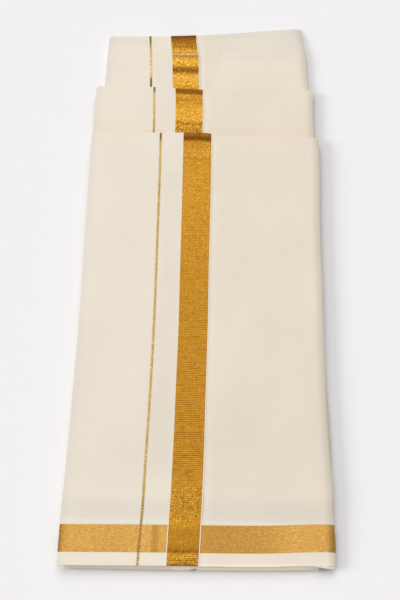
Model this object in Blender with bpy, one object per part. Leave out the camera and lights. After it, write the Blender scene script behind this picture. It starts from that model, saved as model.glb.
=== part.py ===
"""A long cotton dhoti, folded and laid flat.

The cloth is 1.27 m wide and about 4 m long. It is folded to a quarter of its width, which gives
a strip of four plies, and the strip is folded in a zigzag of six stretches. Three far folds are
stepped, so the pile looks like three stairs. Everything is in metres: +Y runs along the strip,
away from the cut end, and +Z is up. The origin is under the middle of the pile, on the floor.
"""
import bpy
import bmesh
import numpy as np

# ---------------------------------------------------------------- driving sizes
PRESSED_STRIP = 0.0010     # four plies pressed onto each other
LOOSE_STRIP = 0.00355      # four plies with air between them
LOOSE_FROM = 5             # the stretches from here down are loose
STRETCHES = 6              # in the pile, counted from the top
GAP = 0.0003               # air between two stretches
FOLD_THINNING = 0.20       # share of its thickness that a strip loses where it is folded
FOLD_AIR = 0.0002          # the open eye inside a fold
FOLD_TAPER = 0.035         # length over which the pile thins towards a fold

TOP_FOLD_Y = 0.5945        # far fold under the top stretch, from the middle of the cut end
MIDDLE_FOLD_Y = 0.6734     # far fold of the second stair
LOWER_FOLD_Y = 0.7666      # far fold of the lowest stair
TOP_JOIN_Y = 0.545         # where the returns pass into the hidden layers
MIDDLE_JOIN_Y = 0.625
LOWER_JOIN_Y = 0.730

CUT_SKEW = 0.0262          # the cut end runs out of square, rise over run
SKEW_REACH = 0.30          # length over which this fades
UPPER_NOSE_Y = -0.0012     # the near folds stand out past the cut end
LOWER_NOSE_Y = -0.0030
BOTTOM_END_Y = -0.0026
NEAR_REACH = 0.120         # length over which a near end that isn't straight pulls at the cloth
DROP = 0.0012              # the surface steps down before the end band
DROP_FROM, DROP_TO = 0.074, 0.050
DROOP = 0.0035             # the unsupported near corner hangs by this much
DROOP_X = 0.1440           # where its support ends
DROOP_SPAN = 0.018         # its width
HANG_BENDS = (0.950, 0.967)  # places across the strip where its hang begins
BORDER_BENDS = (0.505, 0.535)   # and where the top ply ends, past the gold border
DROOP_REACH = 0.052        # and how far along the edge the hanging goes

STRAY_REACH = 0.034        # length over which a fold that isn't straight pulls at the cloth
LOOSE_REACH = 0.008        # the same for the last fold, which is loose
RIDGE_Y = 0.7704           # past this ridge the last fold slopes down
LOOSE_SINK = 25.0          # how much flatter it gets for each metre past the ridge
LEFT_ROLL = 0.0004         # how much lower the top of the pile is at its left edge
RIGHT_ROLL = 0.0021        # and at its right edge
ROLL_WIDTH = 0.011
ROLL_BENDS = (0.980, 0.990)  # places across the strip where the right edge bends down

LOBE = 0.0005              # how far a ply's fold bulges out at the strip's edge
PLY_FOLDS = 2              # folds on top of each other at each edge of a strip
LOBE_POINTS = 4            # points round one of them
NOSE_ANGLES = (76, 56, 36, 16, 0)   # stations round a near fold, in degrees from its flat run
ACROSS_TOP = 12            # spans across the upper face
ACROSS_BOTTOM = 8          # spans across the lower face
TURN = 7                   # spans round a fold

# Outline of each stretch: distance along, left edge, right edge
TOP_EDGES = [
    (-0.005, -0.1560, 0.1597),
    (0.020, -0.1571, 0.1609),
    (0.045, -0.1571, 0.1604),
    (0.064, -0.1561, 0.1589),
    (0.084, -0.1552, 0.1595),
    (0.130, -0.1543, 0.1571),
    (0.230, -0.1535, 0.1533),
    (0.340, -0.1537, 0.1520),
    (0.450, -0.1554, 0.1503),
    (0.560, -0.1568, 0.1508),
    (0.600, -0.1564, 0.1498),
]
MIDDLE_EDGES = [
    (0.530, -0.1560, 0.1440),
    (0.603, -0.1563, 0.1444),
    (0.648, -0.1570, 0.1438),
    (0.658, -0.1566, 0.1441),
    (0.668, -0.1561, 0.1450),
    (0.6734, -0.1546, 0.1408),
]
LOWER_EDGES = [
    (0.610, -0.1454, 0.1383),
    (0.681, -0.1455, 0.1383),
    (0.698, -0.1450, 0.1367),
    (0.723, -0.1448, 0.1358),
    (0.746, -0.1449, 0.1341),
    (0.755, -0.1444, 0.1331),
    (0.760, -0.1424, 0.1316),
    (0.764, -0.1376, 0.1283),
    (0.767, -0.1296, 0.1258),
]
UPPER_PAIR_EDGES = [
    (-0.010, -0.1480, 0.1425),
    (0.000, -0.1500, 0.1446),
    (0.030, -0.1525, 0.1462),
    (0.060, -0.1535, 0.1522),
    (0.084, -0.1533, 0.1560),
    (0.115, -0.1525, 0.1562),
    (0.160, -0.1520, 0.1540),
    (0.340, -0.1518, 0.1500),
    (0.560, -0.1540, 0.1470),
]
LOWER_PAIR_EDGES = [
    (-0.010, -0.1465, 0.1400),
    (0.000, -0.1485, 0.1430),
    (0.066, -0.1515, 0.1545),
    (0.340, -0.1495, 0.1475),
    (0.640, -0.1538, 0.1418),
]
BOTTOM_EDGES = [
    (-0.005, -0.1475, 0.1410),
    (0.066, -0.1505, 0.1530),
    (0.340, -0.1485, 0.1455),
    (0.600, -0.1450, 0.1376),
    (0.740, -0.1430, 0.1322),
]
# Stations along the hidden layers, close together where the surface steps down
HIDDEN_STATIONS = (0.012, 0.030, 0.048, 0.056, 0.064, 0.072, 0.080, 0.110, 0.160, 0.250, 0.340, 0.450)
# How far each far fold strays from a straight line: distance across, stray
TOP_FOLD_STRAY = [
    (-0.157, 0.0002),
    (-0.065, 0.0008),
    (0.003, 0.0018),
    (0.014, 0.0000),
    (0.047, -0.0014),
    (0.110, -0.0005),
    (0.150, -0.0008),
]
MIDDLE_FOLD_STRAY = [
    (-0.155, 0.0004),
    (-0.078, 0.0010),
    (-0.046, -0.0002),
    (0.006, -0.0020),
    (0.070, 0.0006),
    (0.138, 0.0033),
]
LOWER_FOLD_STRAY = [
    (-0.150, -0.0003),
    (-0.100, 0.0002),
    (-0.010, 0.0050),
    (0.060, 0.0132),
    (0.125, 0.0212),
]

# How far the near ends stray from the skewed line
CUT_STRAY = [
    (-0.157, 0.0003),
    (-0.121, 0.0001),
    (-0.077, 0.0000),
    (0.022, -0.0009),
    (0.060, -0.0012),
    (0.088, -0.0010),
    (0.121, 0.0002),
    (0.144, 0.0008),
    (0.160, 0.0010),
]
NOSE_STRAY = [
    (-0.157, 0.0026),
    (-0.140, 0.0021),
    (-0.095, 0.0012),
    (-0.050, 0.0004),
    (0.024, -0.0002),
    (0.090, -0.0002),
    (0.140, 0.0003),
]

CREAM = (0.843, 0.759, 0.638)
SHADED_CREAM = (0.740, 0.650, 0.530)


# ---------------------------------------------------------------- small helpers
def clear_scene():
    for item in list(bpy.data.objects):
        bpy.data.objects.remove(item, do_unlink=True)


def ease(t):
    """0 before t = 0, 1 after t = 1, and a smooth S between."""
    t = np.clip(t, 0.0, 1.0)
    return t * t * (3.0 - 2.0 * t)


def along(table, column, at):
    """One column of a table, read at any distance: a cubic with the slopes of its neighbours."""
    rows = np.array(table)
    x, value = rows[:, 0], rows[:, column]
    slope = np.gradient(value, x)
    at = np.clip(at, x[0], x[-1])
    i = np.clip(np.searchsorted(x, at) - 1, 0, len(x) - 2)
    span = x[i + 1] - x[i]
    t = (at - x[i]) / span
    start = value[i] * (1 + 2 * t) * (1 - t) ** 2 + slope[i] * span * t * (1 - t) ** 2
    end = value[i + 1] * t * t * (3 - 2 * t) + slope[i + 1] * span * t * t * (t - 1)
    return start + end


def thickness(stretch):
    return LOOSE_STRIP if stretch >= LOOSE_FROM else PRESSED_STRIP


def level(stretch):
    """Height of the underside of a stretch, counted 1 at the top."""
    return sum(thickness(lower) + GAP for lower in range(stretch + 1, STRETCHES + 1))


def top_of(stretch):
    return level(stretch) + thickness(stretch)


def fold_radius(stretch):
    """Outer radius of the far fold between a stretch and the one below it."""
    return thickness(stretch) * (1 - FOLD_THINNING) + FOLD_AIR / 2


def cloth_material(name, colour, roughness):
    made = bpy.data.materials.new(name)
    made.use_nodes = True
    shader = made.node_tree.nodes["Principled BSDF"]
    shader.inputs["Base Color"].default_value = (*colour, 1.0)
    shader.inputs["Roughness"].default_value = roughness
    shader.inputs["Metallic"].default_value = 0.0
    return made


# ---------------------------------------------------------------- the strip and its sweep
def strip_ring(lobes, bends=()):
    """Section of a strip, anticlockwise seen from the cut end's side, as three arrays.

    u is the place across, 0 at the left edge and 1 at the right, with a point at each of bends;
    out is added to x at the edges, where each ply fold bulges by half an ellipse; v is the place
    through the thickness, 0 below.
    """
    turn = (np.arange(LOBE_POINTS) + 0.5) / LOBE_POINTS * np.pi
    bulge = np.tile(np.sin(turn), lobes) * LOBE
    rise = np.concatenate([(k + 0.5 - 0.5 * np.cos(turn)) / lobes for k in range(lobes)])
    below = 0.5 - 0.5 * np.cos(np.pi * np.arange(ACROSS_BOTTOM + 1) / ACROSS_BOTTOM)
    above = 0.5 - 0.5 * np.cos(np.pi * np.arange(ACROSS_TOP + 1) / ACROSS_TOP)
    below = np.union1d(below, ROLL_BENDS + bends)
    above = np.union1d(above, ROLL_BENDS + bends)
    u = np.concatenate([below, np.ones(len(rise)), above[::-1], np.zeros(len(rise))])
    v = np.concatenate([0 * below, rise, 0 * above + 1, rise[::-1]])
    out = np.concatenate([0 * below, bulge, 0 * above, -bulge])
    return u, out, v


def sweep(name, ring, inner, outer, left, right, bend, material):
    """Carries a ring along stations. inner and outer hold (y, z) for v = 0 and v = 1.

    left and right are the outermost points of the edges, bulges included.
    """
    u, out, v = ring
    x = (left[:, None] + LOBE) * (1 - u) + (right[:, None] - LOBE) * u + out
    y = inner[:, :1] * (1 - v) + outer[:, :1] * v
    z = inner[:, 1:] * (1 - v) + outer[:, 1:] * v
    x, y, z = bend(x, y, z)
    z = z - edge_roll(x, z, left[:, None], right[:, None])
    count, size = x.shape
    points = np.stack([x, y, z], axis=-1).reshape(-1, 3)
    mesh = bpy.data.meshes.new(name)
    faces = []
    for s in range(count - 1):
        for k in range(size):
            n = (k + 1) % size
            faces.append((s * size + k, s * size + n, (s + 1) * size + n, (s + 1) * size + k))
    faces.append(tuple(range(size)))
    faces.append(tuple(range((count - 1) * size, count * size)))
    mesh.from_pydata(points.tolist(), [], faces)
    work = bmesh.new()
    work.from_mesh(mesh)
    bmesh.ops.recalc_face_normals(work, faces=work.faces)
    work.to_mesh(mesh)
    work.free()
    mesh.shade_smooth()
    mesh.set_sharp_from_angle(angle=np.radians(50))
    mesh.materials.append(material)
    made = bpy.data.objects.new(name, mesh)
    bpy.context.scene.collection.objects.link(made)
    return made


def folded_stretch(flat_y, fold_y, join_y, stretch):
    """Stations of one stretch: flat, round its far fold, and back below itself.

    The upper face sinks and the strip thins over FOLD_TAPER. The fold is a half turn about its
    open eye. The return lies one level down, and thickens again until it meets the hidden layers.
    """
    base = level(stretch + 1)
    radius = fold_radius(stretch)
    thin = radius - FOLD_AIR / 2
    centre = np.array([fold_y - radius, base + radius])
    pressed = ease((flat_y - (fold_y - FOLD_TAPER)) / (FOLD_TAPER - radius))
    top = top_of(stretch)
    upper = top + (base + 2 * radius - top) * pressed
    lower = level(stretch) + (base + radius + FOLD_AIR / 2 - level(stretch)) * pressed
    angle = np.linspace(0, np.pi, TURN + 1)
    arm = np.stack([np.sin(angle), np.cos(angle)], axis=-1)
    back_y = np.linspace(centre[0], join_y, 6)[1:]
    thick = thin + (thickness(stretch + 1) - thin) * ease((centre[0] - back_y) / FOLD_TAPER)
    outer = np.concatenate([
        np.stack([flat_y, upper], axis=-1),
        centre + arm * radius,
        np.stack([back_y, 0 * back_y + base], axis=-1),
    ])
    inner = np.concatenate([
        np.stack([flat_y, lower], axis=-1),
        centre + arm * FOLD_AIR / 2,
        np.stack([back_y, base + thick], axis=-1),
    ])
    return inner, outer


# ---------------------------------------------------------------- how the pile departs from flat
def surface_drop(y):
    return DROP * ease((DROP_FROM - y) / (DROP_FROM - DROP_TO))


def corner_droop(x, y):
    """Grows with the square of the overhang, and dies away along the edge."""
    overhang = np.clip((x - DROOP_X) / DROOP_SPAN, 0, 1.2)
    return DROOP * overhang ** 2 * ease(1 - y / DROOP_REACH)


def fold_stray(table, stretch, fold_y, reach, x, y):
    """Distance along by which a point near a far fold follows the fold's own line."""
    return along(table, 1, x) * ease((y - (fold_y - reach)) / (reach - fold_radius(stretch)))


def near_stray(table, x, y):
    """The same at the near end: the skew of the cut, and the end's own line."""
    return CUT_SKEW * x * ease(1 - y / SKEW_REACH) + along(table, 1, x) * ease(1 - y / NEAR_REACH)


def edge_roll(x, z, left, right):
    """Rounds the long sides, because the inner layers reach less far out than the top ones.

    It is the square of the nearness to the edge, with a share that is nothing at the floor.
    """
    near_left = np.clip(1 - (x - left) / ROLL_WIDTH, 0, 1)
    near_right = np.clip(1 - (right - x) / ROLL_WIDTH, 0, 1)
    height = z / top_of(1)
    share = 1.3 * height / (height + 0.3)
    return (LEFT_ROLL * near_left ** 2 + RIGHT_ROLL * near_right ** 2) * share


def bend_top(x, y, z):
    moved = y + near_stray(CUT_STRAY, x, y)
    moved = moved + fold_stray(TOP_FOLD_STRAY, 1, TOP_FOLD_Y, STRAY_REACH, x, y)
    return x, moved, z - surface_drop(y) - corner_droop(x, y)


def bend_middle(x, y, z):
    return x, y + fold_stray(MIDDLE_FOLD_STRAY, 3, MIDDLE_FOLD_Y, STRAY_REACH, x, y), z


def bend_lower(x, y, z):
    """The last fold is loose at the right: past its ridge the cloth slopes out to a slanting edge."""
    moved = y + fold_stray(LOWER_FOLD_STRAY, 5, LOWER_FOLD_Y, LOOSE_REACH, x, y)
    return x, moved, z * (1 - LOOSE_SINK * np.clip(moved - RIDGE_Y, 0, None))


def bend_upper_pair(x, y, z):
    """Only the upper face of the pair sinks with the top stretch that lies on it."""
    height = (z - level(3)) / (top_of(2) - level(3))
    return x, y + near_stray(NOSE_STRAY, x, y), z - surface_drop(y) * np.clip(height, 0, 1)


def bend_near_end(x, y, z):
    return x, y + near_stray(NOSE_STRAY, x, y), z


# ---------------------------------------------------------------- the stretches that show
def make_top_stretch(material):
    flat_y = np.concatenate([
        np.array([0.0, 0.012, 0.024, 0.036]),
        np.linspace(DROP_TO - 0.004, DROP_FROM + 0.004, 7),
        np.array([0.11, 0.16, 0.23, 0.30, 0.38, 0.45, 0.52, 0.545]),
        np.linspace(TOP_FOLD_Y - FOLD_TAPER, TOP_FOLD_Y - fold_radius(1), 6)[:-1],
    ])
    inner, outer = folded_stretch(flat_y, TOP_FOLD_Y, TOP_JOIN_Y, 1)
    middle = (inner[:, 0] + outer[:, 0]) / 2
    left = along(TOP_EDGES, 1, middle)
    right = along(TOP_EDGES, 2, middle)
    ring = strip_ring(PLY_FOLDS, bends=BORDER_BENDS + HANG_BENDS)
    return sweep("top_stretch", ring, inner, outer, left, right, bend_top, material)


def make_middle_stretch(material):
    flat_y = np.concatenate([
        np.array([TOP_JOIN_Y + GAP, 0.57, 0.59, 0.61, 0.625]),
        np.linspace(MIDDLE_FOLD_Y - FOLD_TAPER, MIDDLE_FOLD_Y - fold_radius(3), 7)[:-1],
    ])
    inner, outer = folded_stretch(flat_y, MIDDLE_FOLD_Y, MIDDLE_JOIN_Y, 3)
    middle = (inner[:, 0] + outer[:, 0]) / 2
    left = along(MIDDLE_EDGES, 1, middle)
    right = along(MIDDLE_EDGES, 2, middle)
    return sweep("middle_stretch", strip_ring(PLY_FOLDS), inner, outer, left, right, bend_middle, material)


def make_lower_stretch(material):
    flat_y = np.concatenate([
        np.array([MIDDLE_JOIN_Y + GAP, 0.65, 0.67, 0.69, 0.71, 0.725]),
        np.linspace(LOWER_FOLD_Y - FOLD_TAPER, LOWER_FOLD_Y - LOOSE_REACH, 5),
        np.linspace(LOWER_FOLD_Y - LOOSE_REACH, LOWER_FOLD_Y - fold_radius(5), 5)[1:-1],
    ])
    inner, outer = folded_stretch(flat_y, LOWER_FOLD_Y, LOWER_JOIN_Y, 5)
    middle = (inner[:, 0] + outer[:, 0]) / 2
    left = along(LOWER_EDGES, 1, middle)
    right = along(LOWER_EDGES, 2, middle)
    return sweep("lower_stretch", strip_ring(PLY_FOLDS), inner, outer, left, right, bend_lower, material)


# ---------------------------------------------------------------- the layers beneath
def hidden_block(name, edges, bottom, top, near_y, far_y, lobes, rounded, bend, material):
    """A run of hidden stretches with a vertical far end and, if rounded, a half-round near fold."""
    radius = (top - bottom) / 2
    if rounded:
        angle = np.radians(NOSE_ANGLES)
        nose_y = near_y + radius * (1 - np.sin(angle))
        half = radius * np.cos(angle)
    else:
        nose_y = np.array([near_y])
        half = np.array([radius])
    run_y = np.concatenate([HIDDEN_STATIONS, [far_y - GAP]])
    y = np.concatenate([nose_y, run_y])
    half = np.concatenate([half, np.full(len(run_y), radius)])
    middle = (top + bottom) / 2
    inner = np.stack([y, middle - half], axis=-1)
    outer = np.stack([y, middle + half], axis=-1)
    left = along(edges, 1, y)
    right = along(edges, 2, y)
    return sweep(name, strip_ring(lobes), inner, outer, left, right, bend, material)


def make_hidden_layers(material):
    """Two near-folded pairs and the bottom stretch, let into each other by a little and united."""
    let_in = 0.0001
    upper = hidden_block(
        "hidden_layers", UPPER_PAIR_EDGES, level(3) - GAP - let_in, top_of(2),
        UPPER_NOSE_Y, TOP_JOIN_Y, 2 * PLY_FOLDS, True, bend_upper_pair, material)
    lower = hidden_block(
        "lower_pair", LOWER_PAIR_EDGES, level(5) - GAP - let_in, top_of(4),
        LOWER_NOSE_Y, MIDDLE_JOIN_Y, 2 * PLY_FOLDS, True, bend_near_end, material)
    bottom = hidden_block(
        "bottom_stretch", BOTTOM_EDGES, 0.0, top_of(6),
        BOTTOM_END_Y, LOWER_JOIN_Y, PLY_FOLDS, False, bend_near_end, material)
    for piece in (lower, bottom):
        piece.hide_render = True
        piece.display_type = "WIRE"
        unite = upper.modifiers.new("unite " + piece.name, "BOOLEAN")
        unite.operation = "UNION"
        unite.object = piece
    return upper


# ---------------------------------------------------------------- the whole pile
def put_origin_under_the_middle(objects, helpers):
    """Moves every mesh, so that the origin lies under the middle of the pile's box."""
    corners = []
    for item in objects:
        points = np.empty(len(item.data.vertices) * 3)
        item.data.vertices.foreach_get("co", points)
        points = points.reshape(-1, 3)
        corners += [points.min(axis=0), points.max(axis=0)]
    corners = np.array(corners)
    middle = (corners.min(axis=0) + corners.max(axis=0)) / 2
    shift = np.array([-middle[0], -middle[1], 0.0])
    for item in objects + helpers:
        points = np.empty(len(item.data.vertices) * 3)
        item.data.vertices.foreach_get("co", points)
        points = points.reshape(-1, 3) + shift
        item.data.vertices.foreach_set("co", points.ravel())
        item.data.update()
    print("box centre was", middle)


def build():
    clear_scene()
    cream = cloth_material("cream_cotton", CREAM, 0.85)
    inside = cloth_material("cream_cotton_edges", SHADED_CREAM, 0.88)
    shown = [make_top_stretch(cream), make_middle_stretch(cream), make_lower_stretch(cream)]
    hidden = make_hidden_layers(inside)
    helpers = [bpy.data.objects["lower_pair"], bpy.data.objects["bottom_stretch"]]
    put_origin_under_the_middle(shown + [hidden], helpers)


build()
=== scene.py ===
# %% [markdown]
# # A folded dhoti with gold borders
#
# A dhoti is one length of woven cotton, here 1.27 m wide and about 4 m long, that is worn wrapped.
# This one is put away as a shop does it: the width is folded in four, and the long strip that this
# gives is folded in a zigzag of six stretches. The three far folds are stepped like stairs.
#
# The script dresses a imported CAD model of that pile. The solids hold its size and its place, and
# here every stretch gets its real form: one thin cloth that runs to and fro through all its plies.
#
# All numbers are in metres. +Y runs along the strip, away from the cut end, and +Z is up.

import bpy
import numpy as np
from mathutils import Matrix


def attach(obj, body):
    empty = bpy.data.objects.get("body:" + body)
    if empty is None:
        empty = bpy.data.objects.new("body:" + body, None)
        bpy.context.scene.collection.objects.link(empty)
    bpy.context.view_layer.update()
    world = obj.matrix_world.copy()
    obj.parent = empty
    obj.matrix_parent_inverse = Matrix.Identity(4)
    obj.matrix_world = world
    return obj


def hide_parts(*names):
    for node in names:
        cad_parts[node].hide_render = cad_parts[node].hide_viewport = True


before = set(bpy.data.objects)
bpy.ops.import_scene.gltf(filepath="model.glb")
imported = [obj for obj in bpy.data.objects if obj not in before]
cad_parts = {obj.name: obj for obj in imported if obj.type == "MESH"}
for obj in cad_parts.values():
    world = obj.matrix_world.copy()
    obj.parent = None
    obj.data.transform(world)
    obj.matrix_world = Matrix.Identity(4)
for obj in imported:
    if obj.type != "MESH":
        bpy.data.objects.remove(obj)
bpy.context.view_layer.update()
print("solids to dress:", sorted(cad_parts))


# %% [markdown]
# ## The camera
#
# A cloth laid out for a shop is seen from above, with the lens tilted so that the near end looks
# a little larger. A long lens far away would lose that taper, and a wide one would overdo it.
# The camera therefore stands 1.4 m over the cloth, looks down by 62 degrees, and is turned
# 1.7 degrees to the left, because the strip doesn't lie quite square to it.

# %% Camera
CAMERA_PLACE = (0.0173, -0.7882, 1.3975)
LOOKS_DOWN = np.radians(62.0)
TURNED_LEFT = np.radians(1.7)
LENS_MM = 74.8             # on a 36 mm sensor

camera_data = bpy.data.cameras.new("camera")
camera_data.lens = LENS_MM
camera_data.sensor_width = 36.0
camera = bpy.data.objects.new("camera", camera_data)
camera.location = CAMERA_PLACE
camera.rotation_euler = (np.pi / 2 - LOOKS_DOWN, 0.0, TURNED_LEFT)
bpy.context.scene.collection.objects.link(camera)
bpy.context.scene.camera = camera
print("camera height:", CAMERA_PLACE[2])


# %% [markdown]
# ## Sizes that the cloth and the solids share
#
# The pile is worked out from the thickness of the folded strip. Every level, fold and join follows
# from it, so that the cloth made here fills the same room as the solids that it replaces.
#
# Lengths along the strip are counted from the middle of the cut end. The last step of each piece
# moves it to the model's own origin, which is under the middle of the pile.

# %% Driving sizes
CLOTH_WIDTH = 1.27
PLIES = 4                  # in the folded strip
CLOTH = 0.00018            # the cloth itself
PRESSED_STRIP = 0.0010     # four plies pressed onto each other
LOOSE_STRIP = 0.00355      # four plies with air between them
LOOSE_FROM = 5             # the stretches from here down are loose
STRETCHES = 6              # counted from the top
GAP = 0.0003               # air between two stretches

FOLD_THINNING = 0.20       # share of its thickness that a strip loses at a fold
FOLD_AIR = 0.0002          # the open eye inside a fold
FOLD_TAPER = 0.035         # length over which the pile thins towards it

TOP_FOLD_Y, MIDDLE_FOLD_Y, LOWER_FOLD_Y = 0.5945, 0.6734, 0.7666
TOP_JOIN_Y, MIDDLE_JOIN_Y, LOWER_JOIN_Y = 0.545, 0.625, 0.730
UPPER_NOSE_Y, LOWER_NOSE_Y = -0.0012, -0.0030
BOTTOM_END_Y = 0.0060
PILE_MIDDLE = np.array([0.00183906, 0.39196469, 0.0])


def thickness(stretch):
    return LOOSE_STRIP if stretch >= LOOSE_FROM else PRESSED_STRIP


def level(stretch):
    """Height of the underside of a stretch, counted 1 at the top."""
    return sum(thickness(lower) + GAP for lower in range(stretch + 1, STRETCHES + 1))


def top_of(stretch):
    return level(stretch) + thickness(stretch)


def fold_radius(stretch):
    """Outer radius of the far fold between a stretch and the one below it."""
    return thickness(stretch) * (1 - FOLD_THINNING) + FOLD_AIR / 2


print("tops of the three stairs:", top_of(1), top_of(3), top_of(5))


# %% [markdown]
# ## Reading a short table smoothly
#
# Hand-folded cloth has no straight edges. Its outlines are kept as short tables of places, and a
# cubic through the rows gives a soft line between them. `ease` is the S-curve that fades
# everything else in and out.

# %% Two small helpers
def ease(t):
    """0 before t = 0 and 1 after t = 1, with the curve 3 t^2 - 2 t^3 between."""
    t = np.clip(t, 0.0, 1.0)
    return t * t * (3.0 - 2.0 * t)


def along(table, column, at):
    """A table's column at any distance: the Hermite cubic whose slopes are those of its rows."""
    rows = np.array(table)
    place, value = rows[:, 0], rows[:, column]
    slope = np.gradient(value, place)
    at = np.clip(at, place[0], place[-1])
    row = np.clip(np.searchsorted(place, at) - 1, 0, len(place) - 2)
    span = place[row + 1] - place[row]
    t = (at - place[row]) / span
    start = value[row] * (1 + 2 * t) * (1 - t) ** 2 + slope[row] * span * t * (1 - t) ** 2
    end = value[row + 1] * t * t * (3 - 2 * t) + slope[row + 1] * span * t * t * (t - 1)
    return start + end


print("ease at a quarter of the way:", ease(0.25))

# %% Outlines: distance along, left edge, right edge
TOP_EDGES = [
    (-0.005, -0.1554, 0.1604),
    (0.020, -0.1553, 0.1615),
    (0.045, -0.1553, 0.1606),
    (0.064, -0.1554, 0.1589),
    (0.084, -0.1549, 0.1595),
    (0.130, -0.1543, 0.1571),
    (0.230, -0.1535, 0.1533),
    (0.340, -0.1537, 0.1520),
    (0.450, -0.1554, 0.1503),
    (0.560, -0.1568, 0.1508),
    (0.600, -0.1564, 0.1498),
]
MIDDLE_EDGES = [
    (0.530, -0.1560, 0.1440),
    (0.603, -0.1563, 0.1444),
    (0.648, -0.1570, 0.1438),
    (0.658, -0.1566, 0.1441),
    (0.668, -0.1561, 0.1450),
    (0.6734, -0.1546, 0.1408),
]
LOWER_EDGES = [
    (0.610, -0.1454, 0.1383),
    (0.681, -0.1455, 0.1383),
    (0.698, -0.1450, 0.1367),
    (0.723, -0.1448, 0.1358),
    (0.746, -0.1449, 0.1341),
    (0.755, -0.1447, 0.1328),
    (0.760, -0.1439, 0.1308),
    (0.764, -0.1415, 0.1262),
    (0.767, -0.1360, 0.1222),
]
UPPER_PAIR_EDGES = [
    (-0.010, -0.1480, 0.1425),
    (0.000, -0.1500, 0.1446),
    (0.030, -0.1525, 0.1462),
    (0.060, -0.1535, 0.1522),
    (0.084, -0.1533, 0.1560),
    (0.115, -0.1525, 0.1562),
    (0.160, -0.1520, 0.1540),
    (0.340, -0.1518, 0.1500),
    (0.560, -0.1540, 0.1470),
]
LOWER_PAIR_EDGES = [
    (-0.010, -0.1465, 0.1400),
    (0.000, -0.1485, 0.1430),
    (0.066, -0.1515, 0.1545),
    (0.340, -0.1495, 0.1475),
    (0.640, -0.1538, 0.1418),
]
BOTTOM_EDGES = [
    (-0.005, -0.1475, 0.1410),
    (0.066, -0.1505, 0.1530),
    (0.340, -0.1485, 0.1455),
    (0.600, -0.1450, 0.1376),
    (0.740, -0.1430, 0.1322),
]
print("rows of outline:", len(TOP_EDGES) + len(MIDDLE_EDGES) + len(LOWER_EDGES))


# %% [markdown]
# ## Where the woven borders lie
#
# The gold threads are woven in, so they belong to the cloth and not to the pile. What the pile
# decides is where each thread comes to lie. The selvedge, the wide border and the thin line run
# slightly askew on every stretch, and the rows below give their place across the strip.

# %% Woven marks: distance along, thin line, left side of the border, right side of the border
TOP_MARKS = [
    (0.000, -0.0637, -0.0306, 0.0051),
    (0.036, -0.0625, -0.0304, 0.0062),
    (0.065, -0.0612, -0.0295, 0.0070),
    (0.124, -0.0604, -0.0286, 0.0078),
    (0.216, -0.0592, -0.0284, 0.0078),
    (0.314, -0.0590, -0.0284, 0.0079),
    (0.383, -0.0598, -0.0295, 0.0071),
    (0.455, -0.0608, -0.0303, 0.0068),
    (0.530, -0.0618, -0.0315, 0.0063),
    (0.590, -0.0632, -0.0325, 0.0052),
]
MIDDLE_MARKS = [
    (0.6024, -0.0731, -0.0442, -0.0073),
    (0.6324, -0.0741, -0.0450, -0.0075),
    (0.6624, -0.0754, -0.0461, -0.0083),
    (0.6734, -0.0757, -0.0467, -0.0084),
]
LOWER_MARKS = [
    (0.6771, -0.0808, -0.0506, -0.0139),
    (0.6871, -0.0812, -0.0512, -0.0148),
    (0.7061, -0.0818, -0.0520, -0.0153),
    (0.7281, -0.0831, -0.0533, -0.0164),
    (0.7491, -0.0847, -0.0553, -0.0190),
    (0.7601, -0.0855, -0.0563, -0.0205),
    (0.7661, -0.0859, -0.0570, -0.0211),
]
SELVEDGE = 0.0012          # plain cotton outside the border
BORDER_TO = 0.0385         # the border's inner side, counted from the selvedge
LINE_AT = 0.0695           # the thin line's middle
LINE_WIDTH = 0.0030
END_BAND = (0.0154, 0.0482)   # the gold band across the cloth, counted from its cut end
print("border width:", BORDER_TO - SELVEDGE)


# %% [markdown]
# ## Where the gold is bright, dark and grainy
#
# Metal thread shows the room rather than itself. A slight tip of the cloth turns it from bright
# gold to brown, at the folds above all, while cotton beside it hardly changes. Here that bright and
# brown is painted into the gold's colour, as painted reflection and painted shade. It is also
# beaten in more closely at some places, and sparkles there in single grains. Both are kept as rows.

# %% Gold: distance along, tone of the border, tone of the thin line, grain, depth of the ribs
# The two tones are painted reflection and painted shade on the gold.
TOP_GOLD = [
    (0.0000, 0.50, 1.15, 0.45, 0.80),
    (0.0010, 0.46, 1.15, 0.45, 0.60),
    (0.0030, 1.12, 1.15, 0.50, 0.60),
    (0.0080, 0.98, 1.12, 0.50, 0.60),
    (0.0130, 1.48, 1.08, 0.50, 0.60),
    (0.0150, 0.37, 0.75, 0.34, 0.20),
    (0.0180, 0.68, 0.75, 0.25, 0.18),
    (0.0240, 0.86, 0.75, 0.16, 0.16),
    (0.0420, 0.88, 0.78, 0.18, 0.18),
    (0.0500, 1.14, 0.95, 0.38, 0.38),
    (0.0700, 1.18, 1.05, 0.46, 0.46),
    (0.0790, 1.04, 1.05, 0.50, 0.46),
    (0.0880, 0.96, 1.03, 0.50, 0.48),
    (0.0930, 1.08, 1.04, 0.12, 0.52),
    (0.1100, 0.98, 1.08, 0.06, 0.64),
    (0.1400, 0.94, 1.12, 0.08, 0.60),
    (0.2030, 0.94, 1.12, 0.10, 0.52),
    (0.2700, 0.94, 1.03, 0.06, 0.50),
    (0.3400, 0.92, 1.02, 0.08, 0.42),
    (0.4270, 0.94, 1.00, 0.20, 0.34),
    (0.4890, 0.96, 1.00, 0.26, 0.24),
    (0.5360, 0.98, 1.00, 0.27, 0.24),
    (0.5550, 0.90, 1.05, 0.28, 0.25),
    (0.5590, 1.06, 1.10, 0.34, 0.25),
    (0.5790, 0.88, 1.00, 0.34, 0.25),
    (0.5830, 0.32, 0.60, 0.32, 0.25),
    (0.5860, 0.30, 0.40, 0.40, 0.25),
    (0.5945, 0.65, 0.40, 0.40, 0.25),
]
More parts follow.
